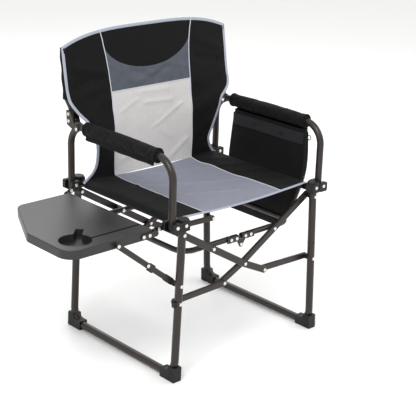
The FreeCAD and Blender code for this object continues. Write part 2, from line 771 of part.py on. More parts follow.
def table_bracket(front):
    """Bent flat bar from the skirt to the hinge pin on the hub."""
    t = table_bracket_thickness
    z = skirt_middle()
    lug_y = arm_foot_y - clevis_length / 2 - lug_thickness
    face = table_front if front else table_rear
    pin = (-table_hinge_x, table_hinge_height)
    knee = (-table_inner + table_bracket_width / 2 + 1.5, z)
    hang = capsule((table_rivets()[1], z), knee, table_bracket_width, -face - t, -face)
    reach = capsule(knee, pin, table_bracket_width, -lug_y + slip, -lug_y + slip + t)
    parts = [hang, reach]
    low, high = sorted((-face - t, -lug_y + slip + t))
    parts.append(box(knee[0] - t / 2, low, z - table_bracket_width / 2,
                     knee[0] + t / 2, high, z + table_bracket_width / 2))
    whole = join(parts)
    whole = widen(whole, pin[0], pin[1])
    for x in table_rivets():
        whole = drill_y(whole, x, z)
    return whole


# ---- strut ----
def strut_lower():
    """Lower half of the folding strut, from the leg to the knee."""
    y0, y1 = -strut_lower_y - strut_thickness / 2, -strut_lower_y + strut_thickness / 2
    bar = capsule(strut_leg, strut_knee, strut_width, y0, y1)
    bar = widen(bar, strut_leg[0], strut_leg[1])
    return drill_y(bar, strut_knee[0], strut_knee[1])


def strut_upper():
    """Upper half of the folding strut, from the knee to the table's skirt."""
    y0, y1 = -strut_upper_y - strut_thickness / 2, -strut_upper_y + strut_thickness / 2
    bar = capsule(strut_knee, strut_table, strut_width, y0, y1)
    bar = widen(bar, strut_knee[0], strut_knee[1])
    return drill_y(bar, strut_table[0], strut_table[1])


def strut_collar(start, end, wall, lip, grow):
    """C-shaped moulding round the back and both edges of the lower half of the strut."""
    y0, y1 = -strut_lower_y - strut_thickness / 2, -strut_lower_y + strut_thickness / 2

    def place(distance):
        return toward(strut_knee, strut_leg, distance)

    outer = capsule_block(place(start), place(end), strut_width + 2 * wall + 2 * lip, y0, y1 + wall)
    inner = capsule_block(place(start - 5), place(end + 5), strut_width + 2 * grow, y0 - 1.0, y1 + grow)
    return outer.cut(inner)


def capsule_block(a, b, width, y0, y1):
    """A square-ended bar between two (x, z) points."""
    length = math.dist(a, b)
    ux, uz = (b[0] - a[0]) / length, (b[1] - a[1]) / length
    half = width / 2
    return plate([(a[0] - uz * half, a[1] + ux * half), (b[0] - uz * half, b[1] + ux * half),
                  (b[0] + uz * half, b[1] - ux * half), (a[0] + uz * half, a[1] - ux * half)], "y", y0, y1)


# ---- storage pouch ----
def pouch_outline():
    top = arm_height - pad_height / 2 - pouch_gap
    span = top - pouch_bottom
    return [(-pouch_front + 2, top), (-pouch_front - 2, top - span * 0.22),
            (-pouch_front + 3, top - span * 0.42), (-pouch_front + 22, top - span * 0.61),
            (-pouch_front + 52, top - span * 0.80), (-pouch_front + 100, top - span * 0.965),
            (-pouch_front + 130, pouch_bottom),
            (pouch_rear - 12, pouch_bottom), (pouch_rear, pouch_bottom + 14),
            (pouch_rear, top - span * 0.48), (pouch_rear - 20, top)]


def storage_pouch():
    """Flat cloth bag that hangs under the right armrest, open along its upper inner side."""
    outline = pouch_outline()
    top = outline[0][1]
    bag = plate(outline, "x", pouch_inner, pouch_outer)
    face = Part.Face(Part.makePolygon([Vector(0, p[0], p[1]) for p in outline + [outline[0]]]))
    inner = face.makeOffset2D(-pouch_wall)
    hollow = inner.extrude(Vector(pouch_thickness - 2 * pouch_wall, 0, 0))
    hollow.translate(Vector(pouch_inner + pouch_wall, 0, 0))
    mouth = box(pouch_inner - 1, -pouch_front + 2 + pouch_wall + 3, top - pouch_mouth,
                pouch_outer - pouch_wall, pouch_rear - 20 - pouch_wall - 3, top + 5)
    return bag.cut(hollow).cut(mouth)


def pouch_ring():
    """Small ring on the pouch's front upper edge."""
    ring = Part.makeTorus(7.0, 1.3, Vector(0, 0, 0), Vector(1, 0, 0))
    ring.translate(Vector(arm_x + 4.0, -pouch_front - 11.5, arm_height - 48.0))
    return ring


# ---- rivets and bushes of each body ----
def leg_rivets(second_layer):
    """Pivot rivets of a leg frame's front leg, drawn on the left."""
    parts = []
    front = -leg_y - leg_r
    back = -(layer_two if second_layer else layer_one) + bar_depth / 2
    for height in (arm_pivot_height, link_pivot_height):
        parts.append(rivet_y(-leg_x(height), height, front, back + slip))
    parts.append(rivet_y(-arm_x, arm_foot_height + arm_pin_rise, -arm_foot_y - clevis_length / 2,
                         -arm_foot_y + clevis_length / 2))
    parts.append(rivet_y(-hub_x, rail_height + 3.0, -leg_y - hub_depth / 2, -leg_y - leg_r - 0.2,
                         heads=(True, False)))
    return parts


def leg_bush():
    """Moulded spacers that bring a leg's pivots out to the second layer, drawn on the left."""
    parts = []
    front = -leg_y + leg_r
    for height in (arm_pivot_height, link_pivot_height):
        ring = cylinder((-leg_x(height), front - 3.0, height), (0, 1, 0), 8.0, layer_pitch + 3.0)
        ring = drill_y(ring, -leg_x(height), height)
        parts.append(ring.cut(sweep(leg_frame_path(), leg_r)))
    return parts


def link_stop():
    """Moulded block on the outer side of the left front leg, level with the link's pivot."""
    x = -link_pivot_x
    z = link_pivot_height
    block = box(x - leg_r - 7.0, -leg_y - 6.0, z - 9.0, x, -leg_y + 6.0, z + 9.0)
    block = block.makeFillet(2.0, [e for e in block.Edges if e.BoundBox.YLength > 11.0])
    return block.cut(sweep(leg_frame_path(), leg_r))


def group(shapes):
    """Several separate solids in one node."""
    return Part.makeCompound([s for shape in shapes for s in shape.Solids])


def build():
    """Every node by name."""
    nodes = {}
    right = mirror_x
    # side frames
    nodes["leg_frame_left"] = leg_frame()
    nodes["leg_frame_right"] = right(leg_frame())
    boot = foot_corner()
    front_hub = hub()
    lug = table_ear()
    for side, place in (("left", lambda s: s), ("right", right)):
        nodes["foot_corner_" + side + "_front"] = place(boot)
        nodes["foot_corner_" + side + "_rear"] = place(mirror_y(boot))
        nodes["seat_rail_" + side] = place(seat_rail())
        nodes["arm_tube_" + side] = place(arm_tube())
        nodes["arm_pad_" + side] = place(arm_pad())
    rear_hub = mirror_y(front_hub)
    nodes["hub_left_front"] = join([front_hub, lug])
    nodes["hub_left_rear"] = join([rear_hub, mirror_y(lug)])
    nodes["hub_right_front"] = right(front_hub)
    nodes["hub_right_rear"] = right(rear_hub)

    left_pins = [s for r in leg_rivets(False) + [table_pin()] for s in both_ends(r)]
    nodes["rivets_left_frame"] = group(left_pins + [back_pivot_pin(), strut_pin()])
    right_pins = [s for r in leg_rivets(True) for s in both_ends(r)]
    nodes["rivets_right_frame"] = group([right(s) for s in right_pins + [back_pivot_pin()]])
    nodes["pivot_bushes_right"] = group([right(s) for b in leg_bush() for s in both_ends(b)])
    nodes["link_stop_left"] = link_stop()

    # scissor arms: arm a runs from the left hub, arm b from the right one
    arm_a = cross_arm(layer_one)
    arm_a = widen(arm_a, -arm_pivot_x, arm_pivot_height)
    arm_b = cross_arm(layer_two)
    arm_b = widen(widen(arm_b, -arm_pivot_x, arm_pivot_height), 0.0, crossing_height)
    nodes["cross_arm_a_front"] = arm_a
    nodes["cross_arm_a_rear"] = mirror_y(arm_a)
    nodes["cross_arm_b_front"] = right(arm_b)
    nodes["cross_arm_b_rear"] = right(mirror_y(arm_b))
    outer_one = -layer_one - bar_depth / 2
    inner_one = -layer_one + bar_depth / 2
    outer_two = -layer_two - bar_depth / 2
    inner_two = -layer_two + bar_depth / 2
    a_rivets = [rivet_y(0.0, crossing_height, outer_one, inner_two + slip),
                rivet_y(arm_end_x, arm_end_height, outer_one, inner_one, heads=(True, False)),
                rivet_y(brace_pivot[0], brace_pivot[1], outer_one, -brace_y + brace_diameter / 2 + slip)]
    nodes["rivets_scissor_a"] = group([s for r in a_rivets for s in both_ends(r)])
    spacer = cylinder((brace_pivot[0], inner_one, brace_pivot[1]), (0, 1, 0), 7.0,
                      -brace_y - brace_diameter / 2 - slip - inner_one + 0.4)
    spacer = drill_y(spacer, brace_pivot[0], brace_pivot[1])
    spacer = spacer.cut(sweep(brace_line(), brace_diameter / 2 + slip))
    nodes["brace_spacers"] = group(both_ends(spacer))
    b_rivets = [rivet_y(-arm_end_x, arm_end_height, outer_two, inner_two, heads=(False, True)),
                rivet_y(-brace_pivot[0], brace_pivot[1], outer_two, inner_two, heads=(True, False))]
    nodes["rivets_scissor_b"] = group([s for r in b_rivets for s in both_ends(r)])

    # lower links, each held on a leg and meeting the far arm's end face to face
    link_right = link(layer_two)
    link_left = mirror_x(link(layer_one))
    nodes["link_right_front"] = link_right
    nodes["link_right_rear"] = mirror_y(link_right)
    nodes["link_left_front"] = link_left
    nodes["link_left_rear"] = mirror_y(link_left)
    half_right = rivet_y(arm_end_x, arm_end_height, outer_two, inner_two, heads=(False, True))
    half_left = rivet_y(-arm_end_x, arm_end_height, outer_one, inner_one, heads=(True, False))
    nodes["link_rivets_right"] = group(both_ends(half_right))
    nodes["link_rivets_left"] = group(both_ends(half_left))

    # centre brace
    nodes["brace_tube_left"] = brace_tube()
    right_tube = right(brace_tube())
    nodes["brace_tube_right"] = right_tube
    nodes["brace_plates_left"] = group(both_ends(hinge_plate(True)))
    nodes["brace_plates_right"] = group([right(s) for s in both_ends(hinge_plate(False))])
    tube_face = brace_y + brace_diameter / 2
    centre_pin = rivet_y(brace_pin[0], brace_pin[1], -tube_face - plate_stack, -tube_face + slip)
    left_rivets = brace_rivets(True) + [centre_pin]
    nodes["rivets_brace_left"] = group([s for r in left_rivets for s in both_ends(r)])
    tail = rivet_y(brace_pivot[0], brace_pivot[1], -brace_y - brace_diameter / 2 + 1.0,
                   -brace_y + brace_diameter / 2, heads=(False, True))
    right_rivets = brace_rivets(False) + [tail]
    nodes["rivets_brace_right"] = group([right(s) for r in right_rivets for s in both_ends(r)])

    # back
    bracket_half = arm_r + bracket_slip + bracket_thickness
    pins = [rivet_x(y, z, -arm_x - bracket_half, -arm_x + bracket_half)
            for y, z in bracket_rivets()]
    for side, place in (("left", lambda s: s), ("right", right)):
        nodes["back_post_" + side] = place(back_post())
        nodes["back_bracket_" + side] = place(back_bracket())
        nodes["back_rivets_" + side] = group([place(p) for p in pins])

    # cloth
    nodes["seat_sling"] = seat_sling()
    nodes["back_sling_lower"] = back_sling_lower()
    nodes["back_sling_upper"] = back_sling_upper()
    nodes["storage_pouch"] = storage_pouch()
    nodes["pouch_ring"] = pouch_ring()

    # side table and its strut
    nodes["table_top"] = table_top()
    nodes["table_bracket_front"] = table_bracket(True)
    nodes["table_bracket_rear"] = mirror_y(table_bracket(False))
    t = table_bracket_thickness
    table_pins = [rivet_y(x, skirt_middle(), -table_front - t, -table_front + table_thickness)
                  for x in table_rivets()]
    table_pins += [mirror_y(rivet_y(x, skirt_middle(), -table_rear - t, -table_rear + table_thickness))
                   for x in table_rivets()]
    nodes["rivets_table"] = group(table_pins)
    nodes["strut_lower"] = strut_lower()
    nodes["strut_upper"] = strut_upper()
    nodes["strut_sleeve"] = strut_collar(80.0, 112.0, 1.6, 0.0, 0.0)
    nodes["strut_lock_clip"] = strut_collar(9.0, 9.0 + clip_length, 2.0, 1.2, 0.15)
    knee_back = -strut_lower_y + strut_thickness / 2
    nodes["rivet_strut_knee"] = rivet_y(strut_knee[0], strut_knee[1],
                                        -strut_upper_y - strut_thickness / 2 - 0.3, knee_back)
    nodes["rivet_strut_table"] = rivet_y(strut_table[0], strut_table[1],
                                         -strut_upper_y - strut_thickness / 2,
                                         -strut_upper_y + strut_thickness / 2, heads=(True, False))
    return nodes


def back_pivot_pin():
    """Pin of the back's pivot through the arm tube, drawn on the left."""
    reach = arm_r + bracket_slip + bracket_thickness + 0.3
    return rivet_x(back_pivot_y, back_pivot_height, -arm_x - reach, -arm_x + reach)


def table_pin():
    """Hinge pin of the table in its lug, at the front."""
    y0 = -arm_foot_y + clevis_length / 2
    y1 = y0 + lug_thickness + slip + table_bracket_thickness + 0.3
    return rivet_y(-table_hinge_x, table_hinge_height, y0, y1)


def strut_pin():
    """Pin of the strut through the left front leg."""
    return rivet_y(strut_leg[0], strut_leg[1], -leg_y - leg_r, -strut_lower_y + strut_thickness / 2 + 0.3)


def main():
    os.makedirs("parts", exist_ok=True)
    for name, shape in build().items():
        shape.translate(Vector(-centre_x, 0, 0))
        shape.exportStep("parts/" + name + ".step")
        print(name, "solids", len(shape.Solids), "valid", shape.isValid(), "volume", round(shape.Volume))


if __name__ == "__main__":
    main()
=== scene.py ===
import json
import math

import bpy
from mathutils import Matrix, Vector


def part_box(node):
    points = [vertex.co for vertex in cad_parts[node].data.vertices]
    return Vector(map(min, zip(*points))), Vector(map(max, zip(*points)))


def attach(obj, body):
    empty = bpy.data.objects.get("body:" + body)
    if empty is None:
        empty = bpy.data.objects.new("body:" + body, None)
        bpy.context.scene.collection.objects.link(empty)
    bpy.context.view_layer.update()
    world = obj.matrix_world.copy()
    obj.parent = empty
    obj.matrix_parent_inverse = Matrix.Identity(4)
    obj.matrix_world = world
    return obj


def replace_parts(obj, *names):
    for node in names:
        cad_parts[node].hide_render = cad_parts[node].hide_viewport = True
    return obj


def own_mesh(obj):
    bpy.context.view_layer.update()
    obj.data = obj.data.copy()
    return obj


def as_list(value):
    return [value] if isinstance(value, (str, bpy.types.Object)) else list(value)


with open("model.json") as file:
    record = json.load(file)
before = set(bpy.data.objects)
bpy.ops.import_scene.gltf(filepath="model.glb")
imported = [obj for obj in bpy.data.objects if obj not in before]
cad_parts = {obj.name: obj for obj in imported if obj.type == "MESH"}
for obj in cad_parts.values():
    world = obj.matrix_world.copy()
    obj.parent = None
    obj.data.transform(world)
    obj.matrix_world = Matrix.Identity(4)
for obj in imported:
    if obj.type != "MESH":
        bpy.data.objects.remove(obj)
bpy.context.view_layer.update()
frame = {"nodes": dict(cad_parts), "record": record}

# Folding director chair with a side table. Tables of sizes are in millimetres, x from the chair's
# centre line, y from the middle of its legs (the sitter faces -y) and z from the floor.
mm = 0.001
chairX = (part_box("leg_frame_left")[0].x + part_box("leg_frame_right")[1].x) / 2


def deselect():
    if bpy.context.object and bpy.context.object.mode != "OBJECT":
        bpy.ops.object.mode_set(mode="OBJECT")
    bpy.ops.object.select_all(action="DESELECT")


def pick(piece):
    deselect()
    piece.select_set(True)
    bpy.context.view_layer.objects.active = piece


def applyModifier(piece, kind, **settings):
    pick(piece)
    modifier = piece.modifiers.new(kind.title(), kind)
    for name, value in settings.items():
        setattr(modifier, name, value)
    bpy.ops.object.modifier_apply(modifier=modifier.name)


def editAll(piece, *operators):  # runs edit-mode operators on the whole mesh
    pick(piece)
    bpy.ops.object.mode_set(mode="EDIT")
    bpy.ops.mesh.select_all(action="SELECT")
    for operator, settings in operators:
        operator(**settings)
    bpy.ops.object.mode_set(mode="OBJECT")


def smoothAngle(piece, degrees=40):
    pick(piece)
    bpy.ops.object.shade_smooth_by_angle(angle=math.radians(degrees))


def place(x, y, z):  # millimetres about the chair's centre line, to metres in the frame
    return Vector((chairX + x * mm, y * mm, z * mm))


def ease(share):
    share = max(0.0, min(1.0, share))
    return share * share * (3 - 2 * share)


def steps(first, last, count):
    return [first + (last - first) * i / count for i in range(count + 1)]


def smoothAlong(stations, at):  # a smooth line through (at, value) stations
    if at <= stations[0][0]:
        return stations[0][1]
    if at >= stations[-1][0]:
        return stations[-1][1]
    i = next(k for k in range(1, len(stations)) if at <= stations[k][0])

    def slope(k):
        before, after = stations[max(k - 1, 0)], stations[min(k + 1, len(stations) - 1)]
        return (after[1] - before[1]) / (after[0] - before[0])

    (t0, v0), (t1, v1) = stations[i - 1], stations[i]
    span = t1 - t0
    t = (at - t0) / span
    return ((2 * t ** 3 - 3 * t ** 2 + 1) * v0 + (t ** 3 - 2 * t ** 2 + t) * span * slope(i - 1)
            + (3 * t ** 2 - 2 * t ** 3) * v1 + (t ** 3 - t ** 2) * span * slope(i))


def foldHeight(folds, u, v):  # sum of soft creases, each (u0, v0, u1, v1, height, width)
    total = 0.0
    for u0, v0, u1, v1, height, width in folds:
        du, dv = u1 - u0, v1 - v0
        length = math.hypot(du, dv)
        along = ((u - u0) * du + (v - v0) * dv) / length / length
        beside = abs((u - u0) * dv - (v - v0) * du) / length
        past = max(0.0, -along, along - 1) * length
        total += height * math.exp(-(beside * beside + past * past) / width ** 2)
    return total


def linear(hexColour):
    channels = [int(hexColour[i:i + 2], 16) / 255 for i in (1, 3, 5)]
    return [c / 12.92 if c <= 0.04045 else ((c + 0.055) / 1.055) ** 2.4 for c in channels] + [1.0]


def addNode(tree, kind, inputs=None, **settings):  # a node with its settings, and its values or links
    node = tree.nodes.new(kind)
    for name, value in settings.items():
        setattr(node, name, value)
    for socket, value in (inputs or {}).items():
        if isinstance(value, bpy.types.NodeSocket):
            tree.links.new(value, node.inputs[socket])
        else:
            node.inputs[socket].default_value = value
    return node


def startMaterial(name, colour, inputs):
    material = bpy.data.materials.new(name)
    material.use_nodes = True
    tree = material.node_tree
    shader = tree.nodes["Principled BSDF"]
    shader.inputs["Base Color"].default_value = linear(colour)
    for socket, value in inputs.items():
        shader.inputs[socket].default_value = value
    return material, tree, shader


def mottle(tree, shader, coords, colours, sizeMm):  # slow drift between two shades
    spots = addNode(tree, "ShaderNodeTexNoise", {"Vector": coords, "Scale": 1 / (sizeMm * mm), "Detail": 5.0,
                                                 "Roughness": 0.6})
    shades = {0: spots.outputs["Fac"], 6: linear(colours[0]), 7: linear(colours[1])}
    mix = addNode(tree, "ShaderNodeMix", shades, data_type="RGBA")
    tree.links.new(mix.outputs[2], shader.inputs["Base Color"])
    return mix


def grainBump(tree, shader, coords, sizeMm, depthMm, strength=1.0, after=None):
    grain = addNode(tree, "ShaderNodeTexNoise", {"Vector": coords, "Scale": 1 / (sizeMm * mm),
                                                 "Detail": 3.0})
    inputs = {"Height": grain.outputs["Fac"], "Distance": depthMm * mm, "Strength": strength}
    if after:
        inputs["Normal"] = after
    bump = addNode(tree, "ShaderNodeBump", inputs)
    tree.links.new(bump.outputs["Normal"], shader.inputs["Normal"])
    return bump


def powderCoatedSteel():  # baked powder on steel tube: dark bronze, satin, with a faint orange peel
    coat = {"dark": "#1d1815", "light": "#2d2521", "driftMm": 35, "peelMm": 2.2, "peelDepthMm": 0.05,
            "wearMm": 14, "smoothest": 0.30, "roughest": 0.46}
    material, tree, shader = startMaterial("powderCoatedSteel", coat["dark"], {
        "Metallic": 0.35, "Coat Weight": 0.2, "Coat Roughness": 0.3})
    coords = addNode(tree, "ShaderNodeTexCoord").outputs["Object"]
    mottle(tree, shader, coords, (coat["dark"], coat["light"]), coat["driftMm"])
    grainBump(tree, shader, coords, coat["peelMm"], coat["peelDepthMm"])
    wear = addNode(tree, "ShaderNodeTexNoise", {"Vector": coords, "Scale": 1 / (coat["wearMm"] * mm),
                                                "Detail": 4.0})
    rough = addNode(tree, "ShaderNodeMapRange", {"Value": wear.outputs["Fac"], "To Min": coat["smoothest"],
                                                 "To Max": coat["roughest"]})
    tree.links.new(rough.outputs[0], shader.inputs["Roughness"])
    return material


def nickelPlatedSteel():  # pressed rivet heads: bright, a little dull where the die marked them
    material, tree, shader = startMaterial("nickelPlatedSteel", "#d9d6d0", {
        "Metallic": 1.0, "Roughness": 0.27})
    coords = addNode(tree, "ShaderNodeTexCoord").outputs["Object"]
    mottle(tree, shader, coords, ("#c4c0ba", "#ecebe8"), 3)
    grainBump(tree, shader, coords, 0.9, 0.03)
    return material


def mouldedNylon():  # spark-eroded mould: black, matt, fine even grain
    material, tree, shader = startMaterial("mouldedNylon", "#09090a", {
        "Roughness": 0.5, "Specular IOR Level": 0.35})
    coords = addNode(tree, "ShaderNodeTexCoord").outputs["Object"]
    mottle(tree, shader, coords, ("#070708", "#0f0f10"), 12)
    grainBump(tree, shader, coords, 0.8, 0.06)
    return material


def mouldedPolypropylene():  # textured tray: charcoal, low gloss, a pebbled grain that spreads highlights
    grain = {"pebbleMm": 1.6, "depthMm": 0.10}  # real grain about 0.5 mm, drawn coarser so that it shows
    material, tree, shader = startMaterial("mouldedPolypropylene", "#1c1c1d", {"Roughness": 0.42})
    coords = addNode(tree, "ShaderNodeTexCoord").outputs["Object"]
    mottle(tree, shader, coords, ("#19191a", "#222223"), 60)
    cells = {"Vector": coords, "Scale": 1 / (grain["pebbleMm"] * mm)}
    pebbles = addNode(tree, "ShaderNodeTexVoronoi", cells, feature="SMOOTH_F1")
    bump = addNode(tree, "ShaderNodeBump", {"Height": pebbles.outputs["Distance"], "Strength": 0.6,
                                            "Distance": grain["depthMm"] * mm})
    grainBump(tree, shader, coords, 9.0, 0.08, after=bump.outputs["Normal"])
    return material


def wovenCloth(name, colours, threadMm, depthMm, roughness, sheen):  # woven polyester, on its UV map
    material, tree, shader = startMaterial(name, colours[0], {
        "Roughness": roughness, "Sheen Weight": sheen, "Sheen Roughness": 0.45, "Specular IOR Level": 0.18})
    uv = addNode(tree, "ShaderNodeTexCoord").outputs["UV"]
    parts = addNode(tree, "ShaderNodeSeparateXYZ", {0: uv})
    waves = []
    for axis in ("X", "Y"):
        turns = addNode(tree, "ShaderNodeMath", {0: parts.outputs[axis], 1: 2 * math.pi / (threadMm * mm)},
                        operation="MULTIPLY")
        waves.append(addNode(tree, "ShaderNodeMath", {0: turns.outputs[0]}, operation="SINE").outputs[0])
    weave = addNode(tree, "ShaderNodeMath", {0: waves[0], 1: waves[1]}, operation="MULTIPLY")
    spots = mottle(tree, shader, uv, colours, 28)
    shade = addNode(tree, "ShaderNodeMapRange", {"Value": weave.outputs[0], "From Min": -1.0, "To Min": 0.80,
                                                 "To Max": 1.15})
    tint = addNode(tree, "ShaderNodeMix", {0: 1.0, 6: spots.outputs[2], 7: shade.outputs[0]},
                   data_type="RGBA", blend_type="MULTIPLY")
    tree.links.new(tint.outputs[2], shader.inputs["Base Color"])
    bump = addNode(tree, "ShaderNodeBump", {"Height": weave.outputs[0], "Distance": depthMm * mm,
                                            "Strength": 0.7})
    grainBump(tree, shader, uv, 18.0, 0.5, strength=0.35, after=bump.outputs["Normal"])
    return material


def pinholeMesh():  # warp-knitted polyester: pale grey, flat, with rows of pinholes that read as grey dots
    knit = {"pitchMm": 4.0, "holeMm": 1.7, "depthMm": 0.3}  # real pitch 2 mm, drawn coarser to show
    material, tree, shader = startMaterial("pinholeMesh", "#c4c1c1", {
        "Roughness": 0.8, "Sheen Weight": 0.15, "Sheen Roughness": 0.4, "Specular IOR Level": 0.3})
    uv = addNode(tree, "ShaderNodeTexCoord").outputs["UV"]
    turned = addNode(tree, "ShaderNodeMapping", {"Vector": uv, "Rotation": (0, 0, math.radians(45))})
    rows = {"Vector": turned.outputs[0], "Randomness": 0.0, "Scale": 1 / (knit["pitchMm"] * mm)}
    cells = addNode(tree, "ShaderNodeTexVoronoi", rows, voronoi_dimensions="2D")
    radius = knit["holeMm"] / knit["pitchMm"] / 2
    edge = {"Value": cells.outputs["Distance"], "From Min": radius * 0.7, "From Max": radius * 1.5}
    holes = addNode(tree, "ShaderNodeMapRange", edge, interpolation_type="SMOOTHSTEP")
    spots = mottle(tree, shader, uv, ("#c9c6c5", "#d9d7d5"), 45)
    tint = addNode(tree, "ShaderNodeMix", {0: holes.outputs[0], 6: linear("#6f6b6b"), 7: spots.outputs[2]},
                   data_type="RGBA")
    tree.links.new(tint.outputs[2], shader.inputs["Base Color"])
    bump = addNode(tree, "ShaderNodeBump", {"Height": holes.outputs[0], "Distance": knit["depthMm"] * mm,
                                            "Strength": 0.6})
    tree.links.new(bump.outputs["Normal"], shader.inputs["Normal"])
    return material


def stitchedBinding():  # silver polyester tape folded over the edge, with fine ribs across it
    ribMm = 1.6
    material, tree, shader = startMaterial("stitchedBinding", "#9499a6", {
        "Roughness": 0.7, "Sheen Weight": 0.2, "Sheen Roughness": 0.4, "Specular IOR Level": 0.3})
    uv = addNode(tree, "ShaderNodeTexCoord").outputs["UV"]
    parts = addNode(tree, "ShaderNodeSeparateXYZ", {0: uv})
    turns = addNode(tree, "ShaderNodeMath", {0: parts.outputs["X"], 1: 2 * math.pi / (ribMm * mm)},
                    operation="MULTIPLY")
    ribs = addNode(tree, "ShaderNodeMath", {0: turns.outputs[0]}, operation="SINE")
    shade = addNode(tree, "ShaderNodeMapRange", {"Value": ribs.outputs[0], "From Min": -1.0, "To Min": 0.9,
                                                 "To Max": 1.05})
    tint = addNode(tree, "ShaderNodeMix", {0: 1.0, 6: linear("#9ca1ae"), 7: shade.outputs[0]},
                   data_type="RGBA", blend_type="MULTIPLY")
    tree.links.new(tint.outputs[2], shader.inputs["Base Color"])
    return material


finishes = {
    "tube_paint": powderCoatedSteel(),
    "rivet_steel": nickelPlatedSteel(),
    "black_plastic": mouldedNylon(),
    "table_plastic": mouldedPolypropylene(),
    # 600-denier oxford: threads about 0.8 mm, drawn at 1.8 mm so that they show
    "black_fabric": wovenCloth("blackOxfordPolyester", ("#060607", "#0d0d0e"), 1.8, 0.25, 0.8, 0.02),
    "slate_fabric": wovenCloth("slateOxfordPolyester", ("#454951", "#5b6069"), 1.8, 0.25, 0.74, 0.06),
    "seat_fabric": wovenCloth("greyOxfordPolyester", ("#7b7d8b", "#888a98"), 1.8, 0.22, 0.72, 0.1),
    "mesh_fabric": pinholeMesh(),
    "piping": stitchedBinding(),
    "pad_fabric": wovenCloth("blackPadPolyester", ("#070708", "#0e0e0f"), 2.4, 0.3, 0.82, 0.02),
}
slotOfNode = {row["node"]: row["material_slot"] for row in frame["record"]["subparts"]}
for nodeName, node in frame["nodes"].items():
    node.data.materials.clear()
    node.data.materials.append(finishes[slotOfNode[nodeName]])
print("materials on", len(frame["nodes"]), "CAD nodes")


def clothGrid(name, columns, rows, surface, flat, materials, materialAt):
    # a grid primitive whose points are laid on a surface, one panel material per face
    deselect()
    lastColumn, lastRow = len(columns) - 1, len(rows) - 1
    bpy.ops.mesh.primitive_grid_add(x_subdivisions=lastColumn, y_subdivisions=lastRow, size=2)
    sheet = bpy.context.object
    sheet.name = name
    mesh = sheet.data
    stations = []
    for vertex in mesh.vertices:
        column = columns[round((vertex.co.x + 1) / 2 * lastColumn)]
        row = rows[round((vertex.co.y + 1) / 2 * lastRow)]
        stations.append((column, row))
    for vertex, (column, row) in zip(mesh.vertices, stations):
        vertex.co = surface(column, row)
    layer = mesh.uv_layers.active
    for loop in mesh.loops:
        layer.data[loop.index].uv = flat(*stations[loop.vertex_index])
    for material in materials:
        mesh.materials.append(material)
    for face in mesh.polygons:
        column = sum(stations[k][0] for k in face.vertices) / len(face.vertices)
        row = sum(stations[k][1] for k in face.vertices) / len(face.vertices)
        face.material_index = materialAt(column, row)
    return sheet


def splitPanels(sheet, names):  # cuts a sheet into its sewn panels, named by material
    editAll(sheet, (bpy.ops.mesh.separate, {"type": "MATERIAL"}))
    panels = {}
    for panel in list(bpy.context.selected_objects):
        used = panel.data.materials[panel.data.polygons[0].material_index]
        panel.data.materials.clear()
        panel.data.materials.append(used)
        for face in panel.data.polygons:
            face.material_index = 0
        panel.name = panel.data.name = names[used.name]
        panels[panel.name] = panel
    return panels


def finishSheet(panel, body, restsOn, thicknessMm=1.4):
    applyModifier(panel, "SOLIDIFY", thickness=thicknessMm * mm, offset=0.0)
    smoothAngle(panel, 50)
    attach(panel, body)
    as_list(restsOn)


def sweepSection(name, frames, section, material, closed=True):
    # lays a cross-section along frames of (point, first axis, second axis); UV is length and first offset
    count = len(section) if closed else len(section) - 1
    lengths = [0.0]
    for before, after in zip(frames, frames[1:]):
        lengths.append(lengths[-1] + (after[0] - before[0]).length)

    def surface(column, row):
        point, first, second = frames[row]
        a, b = section[column % len(section)]
        return point + first * (a * mm) + second * (b * mm)

    def flat(column, row):
        return lengths[row], section[column % len(section)][0] * mm

    strip = clothGrid(name, list(range(count + 1)), list(range(len(frames))), surface, flat,
                      [material], lambda column, row: 0)
    if closed:
        editAll(strip, (bpy.ops.mesh.remove_doubles, {"threshold": 0.00001}),
                (bpy.ops.mesh.fill_holes, {"sides": 0}),
                (bpy.ops.mesh.normals_make_consistent, {"inside": False}))
    return strip


def rounded(width, height, cornerSteps=3):  # an oval-cornered section about its own middle
    radius = min(width, height) / 2
    ring = []
    for cx, cy, start in ((1, 1, 0), (-1, 1, 90), (-1, -1, 180), (1, -1, 270)):
        for i in range(cornerSteps + 1):
            angle = math.radians(start + 90 * i / cornerSteps)
            ring.append((cx * (width / 2 - radius) + radius * math.cos(angle),
                         cy * (height / 2 - radius) + radius * math.sin(angle)))
    return ring


def framesAlong(points, inward):  # frames for a strip: first axis points into the cloth, second off its face
    frames = []
    for i, point in enumerate(points):
        tangent = (points[min(i + 1, len(points) - 1)] - points[max(i - 1, 0)]).normalized()
        into = inward[i] - tangent * inward[i].dot(tangent)
        into.normalize()
        frames.append((point, into, tangent.cross(into)))
    return frames


